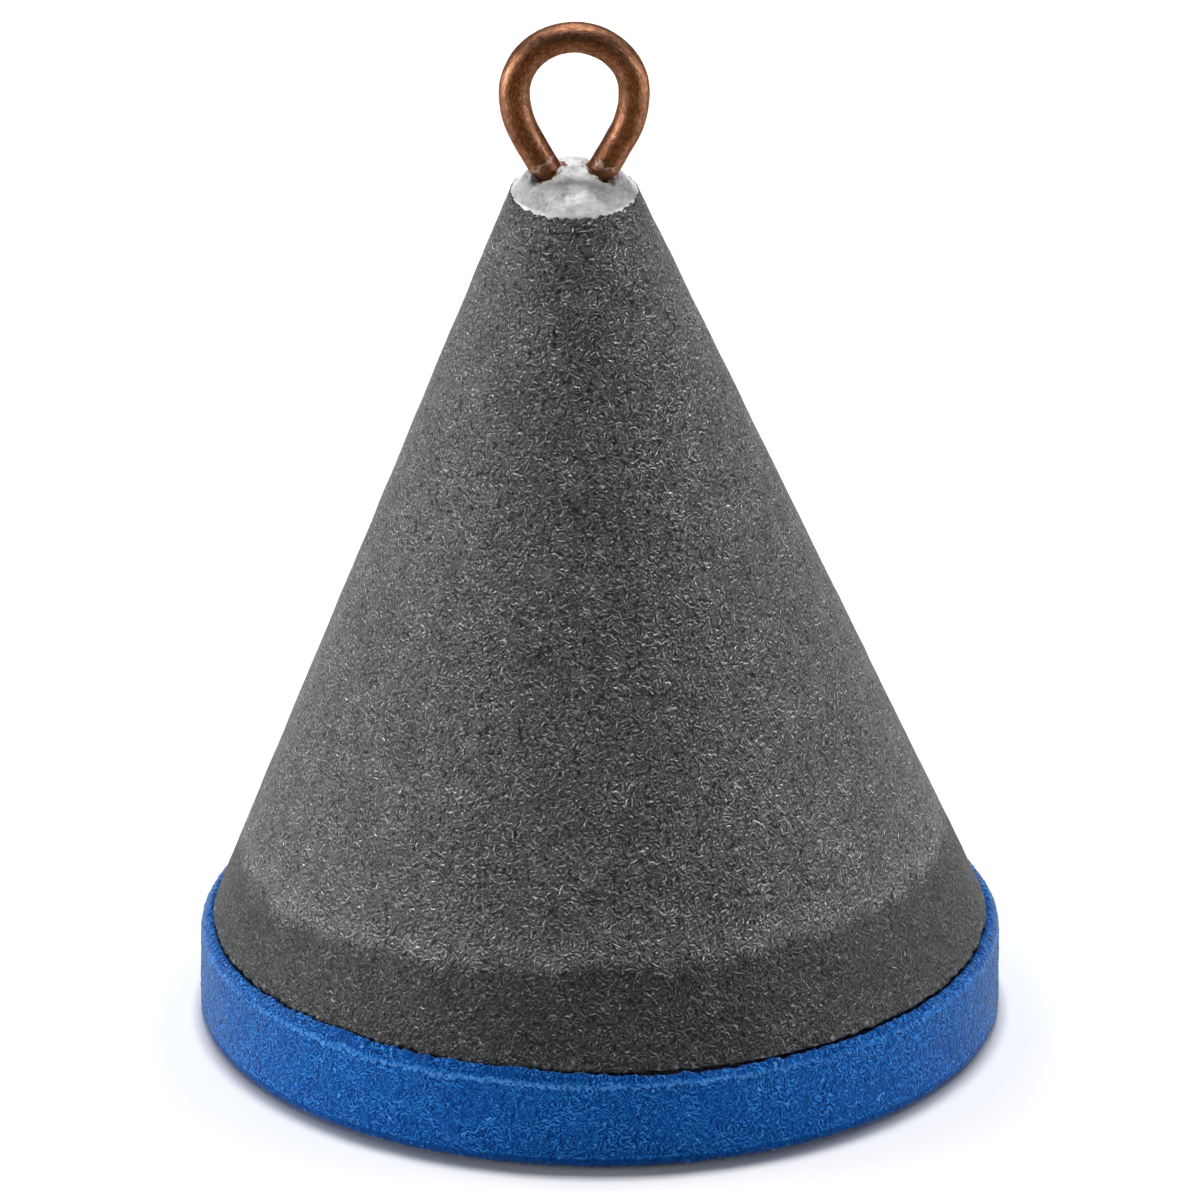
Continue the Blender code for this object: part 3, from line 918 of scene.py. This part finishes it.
def wire_material(look, foot_spread, seed):
    material, sheet, place = new_material("copper_wear_and_painted_dark_reflection")
    along = sheet.add("ShaderNodeAttribute", attribute_name="along").outputs["Fac"]
    around = sheet.add("ShaderNodeAttribute", attribute_name="around").outputs["Vector"]
    track = sheet.vector("ADD", around, sheet.joined(0.0, 0.0, sheet.times(along, STREAK_STRETCH)))
    scratches = sheet.noise(track, 3.5, seed, detail=3.0, roughness=0.6)
    tarnish = sheet.noise(place, TARNISH_SCALE, seed + 1.0, detail=4.0, roughness=0.65)
    specks = sheet.noise(place, SPECK_SCALE, seed + 2.0, detail=1.0)
    streaks = sheet.noise(track, 13.0, seed + 3.0, detail=2.0, roughness=0.7)
    torn = sheet.noise(place, FILM_SCALE, seed + 4.0, detail=3.0, roughness=0.6)
    # Painted dark reflection on the wire's front and back faces, mixed with tarnish: the copper is dull there
    # and clean on the faces in the eye's plane
    flank = sheet.math("ABSOLUTE", sheet.parts(around)[1])
    facing_and_tarnish = sheet.plus(flank, sheet.ramp(tarnish, 0.25, 0.75, 0.2, -0.2, False))
    colour = sheet.mix(sheet.ramp(facing_and_tarnish, 0.15, 0.75), look.dull_colour, look.colour)
    colour = sheet.mix(sheet.ramp(scratches, 0.5, 0.75, 0.0, 0.4), colour, look.dull_colour)
    level = sheet.times(sheet.ramp(specks, 0.3, 0.7, 0.85, 1.15), sheet.ramp(streaks, 0.34, 0.66, 0.5, 1.4))
    level = sheet.plus(level, sheet.ramp(specks, 0.7, 0.8, 0.0, 1.2))
    x, _, z = sheet.parts(place)
    aside = sheet.math("ABSOLUTE", sheet.minus(x, EYE_MIDDLE.x))
    upright, sideways = math.cos(look.leg_angle), math.sin(look.leg_angle)
    up_leg = sheet.plus(sheet.times(z, upright), sheet.times(aside, sideways))
    film_edge = MOUND_TOP * upright + foot_spread * sideways + look.film_height
    above_film = sheet.plus(sheet.minus(up_leg, film_edge), sheet.sway(torn, FILM_SWAY))
    film = sheet.times(sheet.ramp(above_film, *FILM_TOP), sheet.ramp(above_film, *FILM_BOTTOM, 0.0, 0.65))
    stained = sheet.ramp(above_film, *STAIN_TOP, 0.0, 0.6)
    colour = sheet.mix(stained, sheet.scaled(colour, level), look.stain_colour)
    add_shader(sheet, {
        "Base Color": sheet.mix(film, colour, look.film_colour),
        "Metallic": 1.0,
        "Specular Tint": (0.4, 0.36, 0.33, 1.0),
        "Roughness": sheet.ramp(tarnish, 0.3, 0.7, 0.4, 0.55),
        "Normal": bumped(sheet, specks, COPPER_GRAIN_DEPTH),
    })
    return material


def wire_tree(values):
    tree, sheet, given = new_tree("Bent wire", values)
    fine = sheet.add("GeometryNodeResampleCurve", given["Geometry"], inputs={"Length": given["Step"]},
                     mode="LENGTH")
    travel = sheet.add("GeometryNodeSplineParameter")
    path = sheet.add("GeometryNodeStoreNamedAttribute", fine.outputs[0], data_type="FLOAT", domain="POINT",
                     inputs={"Name": "along", "Value": travel.outputs["Length"]})
    ring = sheet.add("GeometryNodeCurvePrimitiveCircle", mode="RADIUS",
                     inputs={"Resolution": given["Sides"], "Radius": given["Radius"]})
    outwards = sheet.vector("NORMALIZE", sheet.add("GeometryNodeInputPosition").outputs[0])
    ring = sheet.add("GeometryNodeStoreNamedAttribute", ring.outputs[0], data_type="FLOAT_VECTOR",
                     domain="POINT", inputs={"Name": "around", "Value": outwards})
    tube = sheet.add("GeometryNodeCurveToMesh", path.outputs[0], ring.outputs[0], inputs={"Fill Caps": True})
    fine_dents = sheet.times(given["Dent depth"], 0.5)
    offset = rough_skin(sheet, given["Seed"], given["Dent depth"], DENT_SIZE, fine_dents, FINE_DENT_SIZE)[1]
    close_tree(sheet, tube.outputs[0], offset, given["Material"])
    return tree


class PLUMMET_OT_wire(Operator):
    """Make the copper wire eye"""

    bl_idname = "plummet.wire"
    bl_label = "Wire eye"

    def execute(self, context):
        settings = context.scene.plummet
        look = settings.wire
        right = wire_line(look)
        line = [(-x, z) for x, z in reversed(right)] + right[1:]
        curve = bpy.data.curves.new("wire_path", "CURVE")
        curve.dimensions = "3D"
        spline = curve.splines.new("POLY")
        spline.points.add(len(line) - 1)
        for point, (x, z) in zip(spline.points, line):
            point.co = (EYE_MIDDLE.x + x, EYE_MIDDLE.y, z, 1.0)
        path = bpy.data.objects.new("wire_path", curve)
        context.scene.collection.objects.link(path)
        material = wire_material(look, settings.lead.foot_spread, settings.seed)
        give_tree(path, wire_tree, material, {
            "Radius": WIRE_RADIUS, "Step": WIRE_STEP, "Sides": WIRE_SIDES, "Dent depth": look.dent_depth,
        })
        finished_piece("copper_wire_eye", path, "wire_eye")
        return {"FINISHED"}


# Glue film, whose near-black colour is also painted shade in the gap under the cone's base

GLUE_STEPS = 480
GLUE_WANDER = 0.0001
GLUE_RIPPLE_DEPTH = 0.00001
CLOUD_SCALE = 1200.0
# Near-black colours of the glue, which are also painted shade in the gap under the cone's base
THICK_GLUE = (0.012, 0.012, 0.013)
THIN_GLUE = (0.05, 0.045, 0.04)


def glue_material(seed):
    material, sheet, place = new_material("dark_glue")
    cloud = sheet.noise(place, CLOUD_SCALE, seed, detail=3.0)
    add_shader(sheet, {
        "Base Color": sheet.mix(cloud, THICK_GLUE, THIN_GLUE),
        "Roughness": sheet.ramp(cloud, 0.3, 0.7, 0.25, 0.5),
        "Normal": bumped(sheet, cloud, GLUE_RIPPLE_DEPTH),
    })
    return material


def glue_tree(values):
    tree, sheet, given = new_tree("Glue film", values)
    x, y = sheet.parts(sheet.add("GeometryNodeInputPosition").outputs[0])[:2]
    outwards = sheet.vector("NORMALIZE", sheet.joined(x, y, 0.0))
    ragged = sheet.noise(outwards, 12.0, given["Seed"], detail=3.0)
    reach = sheet.times(sheet.sway(ragged, 1.0, 0.25, 0.75), given["Wander"])
    close_tree(sheet, given["Geometry"], sheet.scaled(outwards, reach), given["Material"])
    return tree


class PLUMMET_OT_glue(Operator):
    """Make the film of glue between the coat and the foam"""

    bl_idname = "plummet.glue"
    bl_label = "Glue film"

    def execute(self, context):
        settings = context.scene.plummet
        half = (GLUE_TOP - GLUE_BOTTOM) / 2
        profile = [(0, GLUE_TOP)] + between((0, GLUE_TOP), (GLUE_RADIUS, GLUE_TOP), 3)
        profile += arc((GLUE_RADIUS, GLUE_BOTTOM + half), (half, half), QUARTER_TURN, -QUARTER_TURN, 6)[1:]
        profile += between(profile[-1], (0, GLUE_BOTTOM), 3)
        pattern = turned_pattern("glue", profile, GLUE_STEPS)
        give_tree(pattern, glue_tree, glue_material(settings.seed), {"Wander": GLUE_WANDER})
        finished_piece("dark_glue_film", pattern, "glue_film")
        return {"FINISHED"}


# Stage: the softboxes on the left mirror those on the right

SENSOR_WIDTH = 36.0
NEAREST = 0.01
FARTHEST = 10.0
FLOOR_REACH = 0.8
FLOOR_CORNERS = ((-1, -1), (1, -1), (1, 1), (-1, 1))
# Near the foam the floor's glow fades out, which leaves painted shade round the base
SHADE_RING_DISTANCES = (FOAM_RADIUS + 0.001, FOAM_RADIUS + 0.004)
WHITE = (1.0, 1.0, 1.0, 1.0)
TOP_PLACE = (0.0, 0.117, 0.54)
TOP_SIZE = (0.12, 0.11)
SIDE_PLACE = (0.5, -0.05, 0.035)
SIDE_SIZE = (0.3, 0.06)
REAR_PLACE = (0.27, 0.25, 0.473)
REAR_SIZE = (0.2, 0.2)


def place_camera(scene, look):
    camera = bpy.data.objects.new("camera", bpy.data.cameras.new("camera"))
    scene.collection.objects.link(camera)
    camera.data.sensor_width = SENSOR_WIDTH
    camera.data.lens = SENSOR_WIDTH * look.distance / look.view_width
    camera.data.clip_start = NEAREST
    camera.data.clip_end = FARTHEST
    back = Vector((0.0, -math.cos(look.tilt), math.sin(look.tilt)))
    camera.location = Vector((0.0, 0.0, look.aim_height)) + back * look.distance
    camera.rotation_euler = (-back).to_track_quat("-Z", "Y").to_euler()
    scene.camera = camera


def on_the_left(place):
    return (-place[0], *place[1:])


def place_lamp(scene, name, place, size, level):
    """A softbox that faces the plummet; its level is the brightness of its face."""
    lamp = bpy.data.lights.new(name, "AREA")
    lamp.shape = "RECTANGLE"
    lamp.size, lamp.size_y = size
    lamp.energy = level * math.pi * size[0] * size[1]
    obj = bpy.data.objects.new(name, lamp)
    scene.collection.objects.link(obj)
    obj.location = place
    obj.rotation_euler = (Vector((0, 0, CONE_BOTTOM)) - Vector(place)).to_track_quat("-Z", "Y").to_euler()


def seen_directly(sheet):
    """1 for rays from the camera, from gloss and through glass, and 0 for the light that falls on things."""
    rays = sheet.add("ShaderNodeLightPath").outputs
    glossy = sheet.math("MAXIMUM", rays["Is Glossy Ray"], rays["Is Transmission Ray"])
    return sheet.math("MAXIMUM", rays["Is Camera Ray"], glossy)


def floor_material(look):
    material, sheet, place = new_material("pale_floor")
    mottle = sheet.noise(place, 60.0, 1.0, detail=3.0)
    # The glow fades out near the foam, which leaves painted shade round the base
    glow = sheet.times(sheet.ramp(sheet.length(place), *SHADE_RING_DISTANCES), look.floor_glow)
    add_shader(sheet, {
        "Base Color": sheet.scaled(look.floor_colour, sheet.ramp(mottle, 0.3, 0.7, 0.99, 1.01)),
        "Roughness": 0.8,
        "Emission Color": WHITE,
        "Emission Strength": sheet.times(seen_directly(sheet), glow),
    })
    return material


def place_floor(scene, look):
    mesh = bpy.data.meshes.new("floor")
    corners = [(x * FLOOR_REACH, y * FLOOR_REACH, 0) for x, y in FLOOR_CORNERS]
    mesh.from_pydata(corners, [], [(0, 1, 2, 3)])
    floor = bpy.data.objects.new("floor", mesh)
    scene.collection.objects.link(floor)
    mesh.materials.append(floor_material(look))


def light_world(scene, look):
    world = bpy.data.worlds.new("studio")
    scene.world = world
    world.use_nodes = True
    world.node_tree.nodes.clear()
    sheet = Sheet(world.node_tree)
    towards = sheet.parts(sheet.add("ShaderNodeTexCoord").outputs["Generated"])
    level = sheet.ramp(towards[1], -0.7, 0.5, look.front_level, look.back_level)
    background = sheet.add("ShaderNodeBackground", WHITE, level)
    sheet.add("ShaderNodeOutputWorld", background.outputs[0])


class PLUMMET_OT_stage(Operator):
    """Set the camera, the floor and the soft studio light"""

    bl_idname = "plummet.stage"
    bl_label = "Stage"

    def execute(self, context):
        scene = context.scene
        look = scene.plummet.stage
        scene.view_settings.view_transform = "Standard"
        place_camera(scene, look)
        place_floor(scene, look)
        light_world(scene, look)
        place_lamp(scene, "top_softbox", TOP_PLACE, TOP_SIZE, look.top_level)
        place_lamp(scene, "left_softbox", on_the_left(SIDE_PLACE), SIDE_SIZE, look.left_level)
        place_lamp(scene, "right_softbox", SIDE_PLACE, SIDE_SIZE, look.right_level)
        place_lamp(scene, "rear_left_softbox", on_the_left(REAR_PLACE), REAR_SIZE, look.rear_level)
        place_lamp(scene, "rear_right_softbox", REAR_PLACE, REAR_SIZE, look.rear_level)
        return {"FINISHED"}


class PLUMMET_PT_sidebar(Panel):
    """Lists the plummet's pieces in the sidebar"""

    bl_idname = "PLUMMET_PT_sidebar"
    bl_label = "Fishing plummet"
    bl_space_type = "VIEW_3D"
    bl_region_type = "UI"
    bl_category = "Plummet"

    def draw(self, context):
        for operator in OPERATORS:
            self.layout.operator(operator.bl_idname)


OPERATORS = (
    PLUMMET_OT_stage, PLUMMET_OT_foam, PLUMMET_OT_glue, PLUMMET_OT_lead, PLUMMET_OT_coat, PLUMMET_OT_wire,
)
SETTINGS = (FoamSettings, CoatSettings, LeadSettings, WireSettings, StageSettings, PlummetSettings)


def register():
    for made in (*SETTINGS, *OPERATORS, PLUMMET_PT_sidebar):
        bpy.utils.register_class(made)
    bpy.types.Scene.plummet = PointerProperty(type=PlummetSettings)


def unregister():
    del bpy.types.Scene.plummet
    for made in reversed((*SETTINGS, *OPERATORS, PLUMMET_PT_sidebar)):
        bpy.utils.unregister_class(made)


def main():
    register()
    bpy.ops.plummet.stage()
    bpy.ops.plummet.foam()
    bpy.ops.plummet.glue()
    bpy.ops.plummet.lead()
    bpy.ops.plummet.coat()
    bpy.ops.plummet.wire()


if __name__ == "__main__":
    main()
